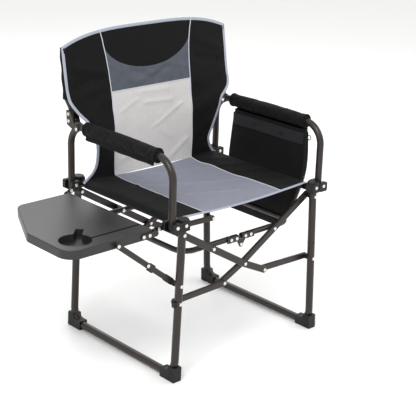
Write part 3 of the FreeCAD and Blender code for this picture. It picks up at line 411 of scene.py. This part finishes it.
backSling = {
    "seam": [(448, 148), (513, 150), (600, 149), (700, 150), (750, 152), (800, 156), (830, 161), (860, 167),
             (890, 174)],
    "leftEdge": [(448, 270), (455, 264), (466, 250), (480, 233), (500, 223), (529, 219), (565, 222),
                 (612, 242), (632, 254), (645, 266), (662, 280), (690, 298), (715, 303), (760, 305),
                 (900, 305)],
    "rightEdge": [(448, 262), (455, 254), (463, 243), (480, 229), (508, 218), (540, 229), (576, 243),
                  (612, 254), (632, 263), (645, 280), (660, 296), (682, 304), (705, 305), (900, 305)],
    "middleY": [(448, 186), (470, 189), (500, 192), (600, 195), (650, 198), (703, 203), (757, 213),
                (830, 225), (884, 231)],
    "sideY": [(448, 186), (465, 188), (500, 184), (540, 181), (576, 179), (612, 175), (640, 180),
              (660, 188), (682, 195), (704, 203), (750, 211), (845, 226), (884, 232)],
    "seatLine": 456, "split": 622, "slateLine": 702, "top": 884, "corner": 846, "halfWidth": 305,
    "crown": 3.5, "moonHeight": 852, "moonDeep": 95, "moonHalf": 165, "moonSlope": 0.4,
    "folds": [  # (x0, z0, x1, z1, height, width), plus towards the sitter
        (-62, 748, -12, 730, -4.2, 9), (-44, 724, 24, 742, 3.4, 9), (10, 722, 70, 748, -3.2, 9),
        (-110, 760, -60, 716, 2.4, 9), (60, 760, 130, 742, 2.4, 10), (-30, 655, 75, 650, 2.6, 5),
        (5, 578, 112, 634, 2.8, 5), (30, 566, 66, 534, 2.2, 5), (-120, 640, -60, 668, 2.0, 6),
        (-120, 500, -20, 520, 2.2, 9), (20, 612, 28, 575, 1.8, 4), (60, 470, 130, 520, 2.4, 7),
        (-60, 690, 60, 684, 1.6, 6), (-270, 786, -170, 760, 5.0, 13), (-285, 730, -175, 748, -4.4, 12),
        (-280, 700, -180, 724, 4.6, 11), (-250, 640, -170, 690, 5.0, 10), (-238, 600, -160, 655, -3.6, 9),
        (-215, 560, -160, 600, 3.6, 9), (-212, 500, -165, 530, 3.2, 8), (190, 812, 292, 780, 4.6, 12),
        (180, 760, 290, 742, -4.2, 11), (170, 690, 285, 724, 4.8, 11), (165, 640, 262, 690, -4.0, 10),
        (165, 605, 240, 655, 4.2, 10), (170, 540, 222, 590, 3.8, 9), (166, 500, 205, 545, -3.0, 8),
        (180, 474, 215, 498, 3.2, 8)],
}


def backEdge(z, side):
    return smoothAlong(backSling["leftEdge" if side < 0 else "rightEdge"], z)


def backX(across, z):  # across is 0 at the centre, 1 at the piped seam and 2 at the edge
    seam, reach = smoothAlong(backSling["seam"], z), abs(across)
    if reach <= 1:
        return seam * across
    return math.copysign(seam + (backEdge(z, across) - seam) * (reach - 1), across)


def backRowZ(row, x):  # row 0 seat line, 1 split, 2 slate line, 3 half-moon line, 4 top edge
    sling = backSling
    top = sling["top"] - (sling["top"] - sling["corner"]) * (abs(x) / sling["halfWidth"]) ** sling["crown"]
    inside = min(1.0, abs(x) / sling["moonHalf"])
    moon = sling["moonHeight"] - sling["moonDeep"] * math.sqrt(1 - inside ** 2)
    if abs(x) > sling["moonHalf"]:
        moon -= (abs(x) - sling["moonHalf"]) * sling["moonSlope"]
    lines = [sling["seatLine"], sling["split"], sling["slateLine"], min(moon, top - 8), top]
    band = min(3, int(row))
    return lines[band] + (lines[band + 1] - lines[band]) * (row - band)


def backPoint(across, row, lift=0.0):
    x = 0.0
    z = backRowZ(row, x)
    for _ in range(6):
        x = backX(across, z)
        z = backRowZ(row, x)
    edge = backEdge(z, across)
    middle, side = smoothAlong(backSling["middleY"], z), smoothAlong(backSling["sideY"], z)
    y = middle + (side - middle) * ease((abs(x) - 0.35 * edge) / (0.65 * edge))
    calm = (ease((2 - abs(across)) / 0.25) * ease((backRowZ(4, x) - z) / 25)
            * ease((z - backSling["seatLine"]) / 25))
    y -= foldHeight(backSling["folds"], x, z) * calm + lift
    return place(x, y, z)


def backFlat(across, row):
    point = backPoint(across, row)
    return point.x - chairX, point.z


backColumns = ([-2 + i / 20 for i in range(20)] + [math.sin(math.pi / 2 * i / 24) for i in range(-24, 25)]
               + [1 + (i + 1) / 20 for i in range(20)])


def backMaterialAt(column, row):  # 0 sides, 1 half-moon, 2 slate, 3 mesh
    if abs(column) > 1:
        return 0
    return 1 if row > 3 else 2 if row > 2 else 3


# black cloth is used twice, so the half-moon has its own copy to be cut out by
moonCloth = finishes["black_fabric"].copy()
moonCloth.name = "blackOxfordMoon"
backCloths = [finishes["black_fabric"], moonCloth, finishes["slate_fabric"], finishes["mesh_fabric"]]
backParts = {
    "Lower": {"rows": steps(0, 1, 30), "body": "left_frame", "replaces": "back_sling_lower",
              "rests": ["seat_rail_left", "seat_rail_right"]},
    "Upper": {"rows": steps(1, 2, 14) + steps(2, 3, 18)[1:] + steps(3, 4, 18)[1:], "body": "back_left",
              "replaces": "back_sling_upper", "rests": ["back_post_left", "back_post_right"]},
}
soft = []  # pieces of the back, each given its own mesh further down
softSeat = []  # and pieces of the seat
for part, facts in backParts.items():
    sheet = clothGrid("back" + part, backColumns, facts["rows"], backPoint, backFlat, backCloths,
                      backMaterialAt)
    applyModifier(sheet, "SUBSURF", levels=1, render_levels=1, boundary_smooth="PRESERVE_CORNERS")
    panels = splitPanels(sheet, {
        "blackOxfordPolyester": "backSides" + part, "blackOxfordMoon": "backHalfMoon",
        "slateOxfordPolyester": "backSlate", "pinholeMesh": "backMesh" + part})
    for panelName, panel in panels.items():
        finishSheet(panel, facts["body"], facts["rests"])
        soft.append(panel)
    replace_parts(panels["backMesh" + part], facts["replaces"])
print("back cloth made")


seatSling = {
    "front": -205, "rear": 187, "sideRun": 140,
    "wrapStart": 1.62, "wrapX": 236,  # from here outwards the cloth goes round the rail, and moves with it
    "seamLeft": [(-205, 150), (-100, 150), (60, 149), (150, 148), (187, 147)],
    "seamRight": [(-205, 145), (-150, 147), (-60, 145), (-15, 138), (45, 142), (100, 148), (130, 141),
                  (187, 147)],
    "sideX": [(1.0, 0), (1.35, 0), (1.62, 236), (1.71, 247), (1.80, 256), (1.88, 260.3), (1.94, 257.6),
              (2.0, 250), (2.1, 238), (2.2, 228)],
    "sideZ": [(1.0, 453.5), (1.35, 455.8), (1.62, 457.7), (1.71, 457.3), (1.80, 453.8), (1.88, 447.5),
              (1.94, 440.6), (2.0, 436.8), (2.1, 440.5), (2.2, 453.0)],
    "middleZ": 449.5,
    "folds": [  # (x0, y0, x1, y1, height, width)
        (-90, 166, 110, 104, 4.4, 5.5), (-146, 80, 130, -52, 4.6, 5.5), (-140, -22, 60, -118, 4.2, 5.5),
        (20, -90, 120, -160, 2.4, 6), (170, 158, 236, 96, 3.2, 9), (158, 78, 240, 34, 2.8, 9),
        (160, 8, 238, -34, 2.4, 9), (160, -70, 238, -112, 2.4, 9), (162, -140, 230, -178, 1.8, 8),
        (-238, 128, -162, 160, 2.4, 9), (-238, 40, -160, 74, 2.2, 9), (-238, -60, -162, -26, 2.2, 9),
        (-236, -140, -164, -112, 1.8, 8), (-40, 178, 90, 172, 1.4, 5)],
}


wrapStart = seatSling["wrapStart"]


def seatSeam(y, side):
    return smoothAlong(seatSling["seamLeft" if side < 0 else "seamRight"], y)


def seatPoint(across, y, lift=0.0):
    reach, seam = abs(across), seatSeam(y, across)
    if reach <= 1:
        x = seam * reach
        z = seatSling["middleZ"] + (smoothAlong(seatSling["sideZ"], 1.0) - seatSling["middleZ"]) * reach ** 2
    else:
        z = smoothAlong(seatSling["sideZ"], reach)
        if reach < wrapStart:
            x = seam + (seatSling["wrapX"] - seam) * (reach - 1) / (wrapStart - 1)
        else:
            x = smoothAlong(seatSling["sideX"], reach)
    x = math.copysign(x, across)
    calm = ease((y - seatSling["front"]) / 20) * ease((seatSling["rear"] - y) / 12)
    top = ease((1.75 - reach) / 0.2)
    z += top * (3.0 * ease((y - 150) / 37) + foldHeight(seatSling["folds"], x, y) * calm) + lift
    return place(x, y, z)


def seatFlat(across, y):
    reach = abs(across)
    seam = seatSeam(y, across)
    x = seam * reach if reach <= 1 else seam + (reach - 1) * seatSling["sideRun"]
    return math.copysign(x, across) * mm, y * mm


sideSteps = [1.06, 1.12, 1.18, 1.24, 1.30, 1.36, 1.43, 1.5, 1.56, 1.62, 1.67, 1.71, 1.755, 1.80, 1.84, 1.88,
             1.91, 1.94, 1.97, 2.0, 2.05, 2.1, 2.15, 2.2]
seatColumns = [-k for k in reversed(sideSteps)] + steps(-1, 1, 44) + sideSteps
seatRows = steps(seatSling["front"], seatSling["rear"], 64)


def seatMaterialAt(column, row):  # 0 sides, 1 centre, 2 left wrap, 3 right wrap
    if abs(column) > wrapStart:
        return 2 if column < 0 else 3
    return 0 if abs(column) > 1 else 1


wrapCloths = {}
for sideName in ("Left", "Right"):
    wrapCloths[sideName] = finishes["black_fabric"].copy()
    wrapCloths[sideName].name = "blackOxfordWrap" + sideName
sheet = clothGrid("seat", seatColumns, seatRows, seatPoint, seatFlat,
                  [finishes["black_fabric"], finishes["seat_fabric"], *wrapCloths.values()], seatMaterialAt)
applyModifier(sheet, "SUBSURF", levels=1, render_levels=1, boundary_smooth="PRESERVE_CORNERS")
panels = splitPanels(sheet, {"blackOxfordPolyester": "seatSides", "greyOxfordPolyester": "seatCentre",
                             "blackOxfordWrapLeft": "seatWrapLeft", "blackOxfordWrapRight": "seatWrapRight"})
for panelName, slot in (("seatSides", "black_fabric"), ("seatCentre", "seat_fabric")):
    finishSheet(panels[panelName], "left_frame", ["seat_rail_left", "seat_rail_right"])
    softSeat.append(panels[panelName])
finishSheet(panels["seatWrapLeft"], "left_frame", ["seat_rail_left"])
finishSheet(panels["seatWrapRight"], "right_frame", ["seat_rail_right"])
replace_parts(panels["seatCentre"], "seat_sling")
print("seat cloth made")


trim = {"pipeRadius": 1.5, "pipeLift": 0.6, "tapeWidth": 9.0, "tapeThick": 3.2, "tapeInset": 3.6}
cordCover = wovenCloth("silverCordCover", ("#b9bcc6", "#c8cbd3"), 1.2, 0.1, 0.65, 0.05)


def pipe(name, points, faces, body, folding):  # a corded seam standing on the cloth's face
    frames = framesAlong(points, faces)
    ring = [(trim["pipeRadius"] * math.cos(math.radians(a)), trim["pipeRadius"] * math.sin(math.radians(a)))
            for a in range(0, 360, 45)]
    strip = sweepSection(name, frames, ring, cordCover)
    smoothAngle(strip, 60)
    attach(strip, body)
    folding.append(strip)


def tape(name, edges, insides, body, folding):  # flat binding folded over an edge
    frames = framesAlong(edges, [inner - edge for edge, inner in zip(edges, insides)])
    ring = [(a + trim["tapeInset"], b) for a, b in rounded(trim["tapeWidth"], trim["tapeThick"])]
    strip = sweepSection(name, frames, ring, finishes["piping"])
    smoothAngle(strip, 60)
    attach(strip, body)
    folding.append(strip)


toFront = Vector((0, -1, 0))
for sideName, side in (("Left", -1), ("Right", 1)):
    for part, rows in (("Lower", steps(0, 1, 20)), ("Upper", steps(1, 4, 40))):
        body = backParts[part]["body"]
        points = [backPoint(side, row, trim["pipeLift"]) for row in rows]
        pipe("backPiping" + part + sideName, points, [toFront] * len(points), body, soft)
    points = [seatPoint(side, y, trim["pipeLift"]) for y in steps(-204, 187, 44)]
    pipe("seatPiping" + sideName, points, [Vector((0, 0, 1))] * len(points), "left_frame", softSeat)
    rows = steps(0, 1, 26)
    tape("backBindingLower" + sideName, [backPoint(side * 2, row) for row in rows],
         [backPoint(side * 1.9, row) for row in rows], "left_frame", soft)

rows = steps(1, 4, 40)
edge = [backPoint(-2, row) for row in rows]
inner = [backPoint(-1.9, row) for row in rows]
for across in steps(-2, 2, 64)[1:-1]:
    edge.append(backPoint(across, 4))
    inner.append(backPoint(across, 3.7))
edge += [backPoint(2, row) for row in reversed(rows)]
inner += [backPoint(1.9, row) for row in reversed(rows)]
tape("backBindingUpper", edge, inner, "back_left", soft)

flatSteps = [k for k in sideSteps if k <= wrapStart]
wrapSteps = [k for k in sideSteps if wrapStart <= k < 1.95]
frontRuns = {"": ([-k for k in reversed(flatSteps)] + steps(-1, 1, 30) + flatSteps, "left_frame", softSeat),
             "Left": ([-k for k in reversed(wrapSteps)], "left_frame", []),
             "Right": (wrapSteps, "right_frame", [])}
for runName, (run, body, folding) in frontRuns.items():
    tape("seatFrontBinding" + runName, [seatPoint(k, seatSling["front"]) for k in run],
         [seatPoint(k, seatSling["front"] + 10) for k in run], body, folding)
points = [backPoint(k, 2, trim["pipeLift"]) for k in steps(-1, 1, 24)]
pipe("slateSeam", points, [toFront] * len(points), "back_left", soft)
print("piping and binding made")


postSleeve = {
    "low": 700, "high": 842, "reach": 10.8, "wrap": (-75, 150), "columnMm": 5.0,
    "postX": 295, "postY": [(690, 218), (704, 219), (838, 232), (850, 233)],
    "start": (303.5, 0.8), "turnIn": (279, 4.0), "end": (270, 1.2),  # (x, distance behind the cloth)
}


def sleeve(name, side):
    rows = steps(postSleeve["low"], postSleeve["high"], 16)
    angles = steps(*postSleeve["wrap"], 14)
    sewn = {0: postSleeve["start"], 13: postSleeve["turnIn"], 14: postSleeve["end"]}

    def surface(column, z):
        clothY = smoothAlong(backSling["sideY"], z)
        if column in sewn:
            return place(side * sewn[column][0], clothY + sewn[column][1], z)
        angle = math.radians(angles[column])
        swell = postSleeve["reach"] + 1.2 * math.sin(z * 0.11) * math.sin(angle * 1.7)
        x = postSleeve["postX"] - 2 + swell * math.cos(angle)
        return place(side * x, smoothAlong(postSleeve["postY"], z) + swell * math.sin(angle), z)

    strip = clothGrid(name, list(range(len(angles))), rows, surface,
                      lambda column, z: (column * postSleeve["columnMm"] * mm, z * mm),
                      [finishes["black_fabric"]], lambda column, row: 0)
    if side > 0:
        editAll(strip, (bpy.ops.mesh.flip_normals, {}))
    sideName = "left" if side < 0 else "right"
    finishSheet(strip, "back_" + sideName, ["back_post_" + sideName])


sleeve("postSleeveLeft", -1)
sleeve("postSleeveRight", 1)
print("post sleeves made")


armPad = {"half": (17.6, 19.6), "endBevel": 6, "voxel": 5.0, "pressure": 4.0, "grow": -0.05, "cap": 3.0,
          "flapDrop": 13.0, "flapThick": 3.0, "hem": (3.4, 7.0)}


def simulateSkin(piece, pressure, grow, capMm, held):  # blows the skin up a little, so that it puckers
    before = [vertex.co.copy() for vertex in piece.data.vertices]
    pick(piece)
    group = piece.vertex_groups.new(name="held")
    group.add([k for k, co in enumerate(before) if held(co)], 1.0, "REPLACE")
    modifier = piece.modifiers.new("Cloth", "CLOTH")
    settings = modifier.settings
    settings.quality = 6
    settings.use_pressure = True
    settings.uniform_pressure_force = pressure
    settings.shrink_min = grow
    settings.tension_stiffness = 8
    settings.compression_stiffness = 8
    settings.bending_stiffness = 0.3
    settings.vertex_group_mass = "held"
    settings.effector_weights.gravity = 0
    modifier.collision_settings.use_collision = False
    for frameNumber in range(1, 21):
        bpy.context.scene.frame_set(frameNumber)
    bpy.ops.object.modifier_apply(modifier="Cloth")
    bpy.context.scene.frame_set(1)
    for vertex, start in zip(piece.data.vertices, before):
        move = vertex.co - start
        if move.length > capMm * mm:
            vertex.co = start + move.normalized() * capMm * mm
    piece.vertex_groups.clear()


def makeArmPad(sideName):
    low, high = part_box("arm_pad_" + sideName)
    middle, length = (low + high) / 2, high.y - low.y
    deselect()
    bpy.ops.mesh.primitive_cylinder_add(vertices=40, radius=1, depth=length,
                                        rotation=(math.radians(90), 0, 0))
    pad = bpy.context.object
    pad.name = pad.data.name = "armPad" + sideName.title()
    bpy.ops.object.transform_apply(location=False, rotation=True, scale=False)
    halfX, halfZ = armPad["half"]
    for vertex in pad.data.vertices:
        vertex.co = Vector((vertex.co.x * halfX * mm, vertex.co.y, vertex.co.z * halfZ * mm))
    applyModifier(pad, "BEVEL", width=armPad["endBevel"] * mm, segments=4, limit_method="ANGLE",
                  angle_limit=math.radians(50))
    applyModifier(pad, "REMESH", mode="VOXEL", voxel_size=armPad["voxel"] * mm)
    for vertex in pad.data.vertices:
        vertex.co += middle
    simulateSkin(pad, armPad["pressure"], armPad["grow"], armPad["cap"],
                 lambda co: abs(co.y - middle.y) > length / 2 - 8 * mm or co.z < low.z + 4 * mm)
    applyModifier(pad, "SUBSURF", levels=1, render_levels=1)
    pad.data.materials.append(finishes["pad_fabric"])
    wrapUv(pad, middle)
    pick(pad)
    bpy.ops.object.shade_smooth()
    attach(pad, sideName + "_frame")
    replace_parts(pad, "arm_pad_" + sideName)

    # closing flap under the foam, and a rolled hem at each end
    side = -1 if sideName == "left" else 1
    rows = steps(low.y + 10 * mm, high.y - 10 * mm, 30)
    drop, thick = armPad["flapDrop"], armPad["flapThick"]
    downwards = Vector((side * 0.25, 0, -1)).normalized()
    outwards = Vector((1, 0, side * 0.25)).normalized()
    frames = []
    for y in rows:
        point = Vector((middle.x + side * 9 * mm, y, low.z + 2 * mm + 0.6 * mm * math.sin(y * 90)))
        frames.append((point, downwards, outwards))
    flap = sweepSection("armPadFlap" + sideName.title(), frames,
                        [(a + drop / 2 - 4, b) for a, b in rounded(drop, thick)], finishes["pad_fabric"])
    smoothAngle(flap, 60)
    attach(flap, sideName + "_frame")
    for endName, y in (("Front", low.y + 4 * mm), ("Rear", high.y - 4 * mm)):
        frames = []
        for turn in range(37):
            angle = math.radians(turn * 10)
            out = Vector((math.cos(angle), 0, math.sin(angle)))
            point = Vector((middle.x + out.x * (halfX - 0.6) * mm, y,
                            middle.z + out.z * (halfZ - 0.6) * mm))
            frames.append((point, out, Vector((0, 1, 0))))
        hem = sweepSection("armPadHem" + endName + sideName.title(), frames,
                           rounded(*armPad["hem"]), finishes["pad_fabric"])
        smoothAngle(hem, 60)
        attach(hem, sideName + "_frame")


def wrapUv(piece, middle):  # UV of length along y and distance round, in metres
    if not piece.data.uv_layers:
        piece.data.uv_layers.new(name="UVMap")
    layer = piece.data.uv_layers.active
    for loop in piece.data.loops:
        co = piece.data.vertices[loop.vertex_index].co
        angle = math.atan2(co.z - middle.z, co.x - middle.x)
        layer.data[loop.index].uv = (co.y, angle * 19 * mm)


makeArmPad("left")
makeArmPad("right")
print("arm pads made")


pouch = {
    "top": 603, "bottom": 272, "rear": [(272, 140), (286, 152), (440, 152), (520, 144), (604, 132)],
    "front": [(272, -30), (284, -60), (338, -108), (401, -138), (464, -157), (531, -162), (604, -158)],
    "inner": [(272, 284), (300, 276), (400, 270), (500, 269), (604, 269)],
    "outer": [(272, 284), (300, 293), (400, 299), (500, 300), (604, 298)],
    "turns": 28, "squareness": 0.30, "seamTop": 592, "bandMiddle": 575, "bandWide": 35, "snapHeight": 576,
    "flatColumnMm": 24,
}


def pouchPoint(turn, z, grow=0.0):  # whole turns go round the bag, from the middle of its inner side
    front, rear = smoothAlong(pouch["front"], z), smoothAlong(pouch["rear"], z)
    inner, outer = smoothAlong(pouch["inner"], z), smoothAlong(pouch["outer"], z)
    angle = 2 * math.pi * turn / pouch["turns"]
    inwards, sidelong = math.cos(angle), math.sin(angle)
    acrossY = math.copysign(abs(sidelong) ** pouch["squareness"], sidelong) if abs(sidelong) > 1e-9 else 0.0
    acrossX = math.copysign(abs(inwards) ** pouch["squareness"], inwards) if abs(inwards) > 1e-9 else 0.0
    y = (front + rear) / 2 + (rear - front) / 2 * acrossY * -1
    x = (inner + outer) / 2 - ((outer - inner) / 2 + grow) * acrossX
    belly = 2.2 * math.sin((y + 40) * 0.018 + z * 0.012) + 1.4 * math.sin(y * 0.045 - z * 0.02)
    calm = ease((pouch["top"] - z) / 60) * ease((z - pouch["bottom"]) / 40)
    x += belly * calm * (0.6 if inwards > 0 else 1.0) * abs(acrossX)
    return place(x, y, z)


rows = steps(pouch["bottom"], 300, 5) + steps(300, pouch["top"], 30)[1:]
bag = clothGrid("storagePouch", list(range(pouch["turns"] + 1)), rows, pouchPoint,
                lambda turn, z: (turn * pouch["flatColumnMm"] * mm, z * mm), [finishes["black_fabric"]],
                lambda column, row: 0)
editAll(bag, (bpy.ops.mesh.remove_doubles, {"threshold": 0.0001}),
        (bpy.ops.mesh.normals_make_consistent, {"inside": False}))
applyModifier(bag, "SUBSURF", levels=1, render_levels=1)
applyModifier(bag, "SOLIDIFY", thickness=1.4 * mm, offset=-1.0)
smoothAngle(bag, 60)
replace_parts(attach(bag, "right_frame"), "storage_pouch")

charcoal = wovenCloth("charcoalOxfordPolyester", ("#18191c", "#222327"), 1.8, 0.25, 0.78, 0.08)
frames = []
for turn in steps(-6.2, 6.2, 24):
    point = pouchPoint(turn % pouch["turns"], pouch["bandMiddle"], 1.4)
    frames.append((point, Vector((0, 0, -1)), Vector((-1, 0, 0))))
band = sweepSection("pouchHemBand", frames, rounded(pouch["bandWide"], 2.2), charcoal)
smoothAngle(band, 60)
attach(band, "right_frame")


def pouchSeam(name, turn):  # a corner seam standing up from the bag
    heights = steps(pouch["seamTop"], pouch["bottom"] + 10, 24)
    points = [pouchPoint(turn, z, 1.2) for z in heights]
    sideways = [pouchPoint(turn + 0.3, z, 1.2) - point for z, point in zip(heights, points)]
    strip = sweepSection(name, framesAlong(points, sideways), rounded(3.2, 1.8), finishes["black_fabric"])
    smoothAngle(strip, 60)
    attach(strip, "right_frame")


corners = {"FrontInner": 6.35, "RearInner": 21.65, "FrontOuter": 7.65, "RearOuter": 20.35}
for seamName, turn in corners.items():
    pouchSeam("pouchSeam" + seamName, turn)

ringRound = [pouchPoint(turn / 8, pouch["snapHeight"]) for turn in range(8 * pouch["turns"])]
innerSide = [point for point in ringRound if point.x <= chairX + 283 * mm]
for snapName, y in (("Front", -70), ("Rear", 42)):
    low = min(innerSide, key=lambda point: abs(point.y - y * mm))
    deselect()
    bpy.ops.mesh.primitive_cylinder_add(vertices=24, radius=6 * mm, depth=2.4 * mm,
                                        location=(low.x - 2.6 * mm, low.y, low.z),
                                        rotation=(0, math.radians(90), 0))
    snap = bpy.context.object
    snap.name = snap.data.name = "pouchSnap" + snapName
    bpy.ops.object.transform_apply(location=True, rotation=True, scale=True)
    applyModifier(snap, "BEVEL", width=0.8 * mm, segments=3, limit_method="ANGLE",
                  angle_limit=math.radians(50))
    snap.data.materials.append(finishes["black_plastic"])
    smoothAngle(snap, 40)
    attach(snap, "right_frame")
print("pouch made")


for pieces, halfWidth in ((soft, 262), (softSeat, 236)):  # each soft piece gets its own copy of its mesh
    for piece in pieces:
        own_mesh(piece)

studio = {
    "floor": "#f4f4f3", "sky": 0.95,
    "softboxes": {  # (place, aim, size) in metres, and watts
        "keySoftbox": ((-2.4, -1.6, 3.4), (0, 0, 0.5), 1.4, 95),
        "fillSoftbox": ((2.6, -1.6, 2.2), (0, 0, 0.5), 1.6, 18),
        "rimSoftbox": ((1.2, 2.6, 3.0), (0, 0, 0.6), 1.4, 40),
    },
}
deselect()
bpy.ops.mesh.primitive_plane_add(size=40, location=(0, 0, -0.0005))
floor = bpy.context.object
floor.name = "studioFloor"
paper, paperTree, paperShader = startMaterial("studioPaper", studio["floor"], {"Roughness": 0.9})
paperCoords = addNode(paperTree, "ShaderNodeTexCoord").outputs["Object"]
grainBump(paperTree, paperShader, paperCoords, 4.0, 0.05)
floor.data.materials.append(paper)

world = bpy.data.worlds.new("studioWhite")
bpy.context.scene.world = world
world.use_nodes = True
sky = world.node_tree.nodes["Background"]
sky.inputs["Color"].default_value = linear("#ffffff")
sky.inputs["Strength"].default_value = studio["sky"]


def softbox(name, where, aim, size, watts):
    bpy.ops.object.light_add(type="AREA", location=where)
    lamp = bpy.context.object
    lamp.name = name
    lamp.data.shape = "SQUARE"
    lamp.data.size = size
    lamp.data.energy = watts
    lamp.rotation_euler = (Vector(aim) - Vector(where)).to_track_quat("-Z", "Y").to_euler()


for boxName, facts in studio["softboxes"].items():
    softbox(boxName, *facts)
print("floor and light made")

view = {"from": (-2148, -2351, 1519), "yaw": 43.09, "pitch": 19.73, "roll": 1.8, "lens": 100.7}
yaw, pitch, roll = (math.radians(view[k]) for k in ("yaw", "pitch", "roll"))
ahead = Vector((math.sin(yaw) * math.cos(pitch), math.cos(yaw) * math.cos(pitch), -math.sin(pitch)))
level = Vector((math.cos(yaw), -math.sin(yaw), 0))
upright = level.cross(ahead)
right = level * math.cos(roll) + upright * math.sin(roll)
up = upright * math.cos(roll) - level * math.sin(roll)
bpy.ops.object.camera_add(location=place(*view["from"]))
camera = bpy.context.object
camera.rotation_euler = Matrix((right, up, -ahead)).transposed().to_euler()
camera.data.lens = view["lens"]
camera.data.sensor_width = 36
camera.data.clip_end = 60
bpy.context.scene.camera = camera
bpy.context.scene.view_settings.view_transform = "Standard"
